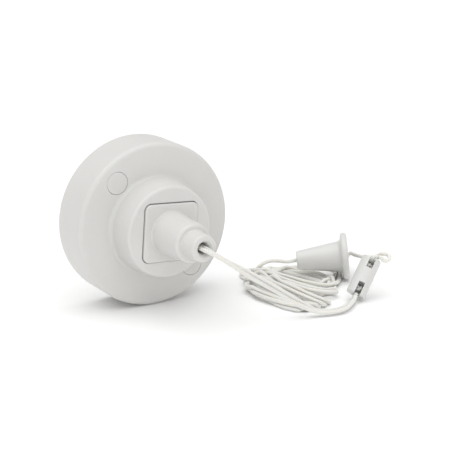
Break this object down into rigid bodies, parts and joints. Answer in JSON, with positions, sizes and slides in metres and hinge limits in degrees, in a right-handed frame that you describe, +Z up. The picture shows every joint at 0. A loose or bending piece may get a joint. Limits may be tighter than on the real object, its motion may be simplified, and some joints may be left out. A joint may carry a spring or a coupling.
{
  "type": "pull cord switch",
  "caption": "Round white ceiling pull cord switch: cover with raised turret, cone-shaped cord outlet, doubled lead, cord connector, wound pull cord and acorn pull.",
  "frame": {"origin": "centre of the bottom of the switch as it stands on the rim of its cover, without the free cord", "axes": "+Z up, +Y along the switch axis from the cord outlet towards the ceiling face, +X to the right when looking into the cord outlet"},
  "size_m": [0.1512, 0.0818, 0.0794],
  "materials": {
    "white_moulding": "white moulded urea plastic, satin gloss",
    "natural_nylon": "uncoloured moulded nylon",
    "brass": "plain pressed brass",
    "phosphor_bronze": "sprung phosphor bronze",
    "zinc_plated_steel": "bright zinc plate",
    "braided_cord": "braided off-white polyester cord"
  },
  "bodies": {
    "switch_body": {"arm_pivot_pin": "zinc_plated_steel", "base_plate": "white_moulding", "common_strip": "brass", "cover": "white_moulding", "fixed_contact_l1": "brass", "fixed_contact_l2": "brass", "fixing_screw_lower": "zinc_plated_steel", "fixing_screw_upper": "zinc_plated_steel", "mechanism_housing": "white_moulding", "mechanism_rear": "natural_nylon", "module_screw_a": "zinc_plated_steel", "module_screw_b": "zinc_plated_steel", "rear_screw_a": "zinc_plated_steel", "rear_screw_b": "zinc_plated_steel", "return_spring": "zinc_plated_steel", "screw_cap_lower": "white_moulding", "screw_cap_upper": "white_moulding", "terminal_common": "brass", "terminal_l1": "brass", "terminal_l2": "brass", "terminal_loop": "brass", "terminal_screw_common": "zinc_plated_steel", "terminal_screw_l1": "zinc_plated_steel", "terminal_screw_l2": "zinc_plated_steel", "terminal_screw_loop": "zinc_plated_steel", "wheel_axle": "zinc_plated_steel"},
    "pull_cord": {"plunger": "natural_nylon", "pawl_pin": "zinc_plated_steel", "plunger_knot": "braided_cord", "lead_strand_a": "braided_cord", "lead_strand_b": "braided_cord", "lead_knot": "braided_cord", "cord_connector": "white_moulding", "cord_knot": "braided_cord", "cord_to_connector": "braided_cord", "cord_hank": "braided_cord", "cord_to_acorn": "braided_cord", "acorn_knot": "braided_cord", "acorn_pull": "white_moulding"},
    "ratchet_wheel": {"ratchet_wheel": "natural_nylon"},
    "contact_arm": {"contact_arm": "phosphor_bronze"},
    "pawl": {"pawl": "natural_nylon"}
  },
  "joints": [
    {"name": "cord_pull", "type": "slide", "parent": "switch_body", "child": "pull_cord", "axis": [0, -1, 0], "range_m": [0, 0.008], "stiffness_N_per_m": 800, "springref_m": -0.004, "deforming": ["return_spring"]},
    {"name": "wheel_index", "type": "hinge", "parent": "switch_body", "child": "ratchet_wheel", "pos_m": [-0.00031, 0.0121, 0.03573], "axis": [0.9971, 0, -0.0767], "range_deg": [0, 45]},
    {"name": "contact_rock", "type": "hinge", "parent": "switch_body", "child": "contact_arm", "pos_m": [-0.00068, 0.0027, 0.03084], "axis": [-0.9971, 0, 0.0767], "range_deg": [0, 4]},
    {"name": "pawl_swing", "type": "hinge", "parent": "pull_cord", "child": "pawl", "pos_m": [0.00028, 0.0039, 0.0434], "axis": [0.9971, 0, -0.0767], "range_deg": [0, 8]}
  ],
  "couplings": [
    {"joint": "wheel_index", "follows": "cord_pull", "rad_per_m": 98.1},
    {"joint": "contact_rock", "follows": "cord_pull", "rad_per_m": 8.72},
    {"joint": "pawl_swing", "follows": "cord_pull", "rad_per_m": 17.44}
  ]
}
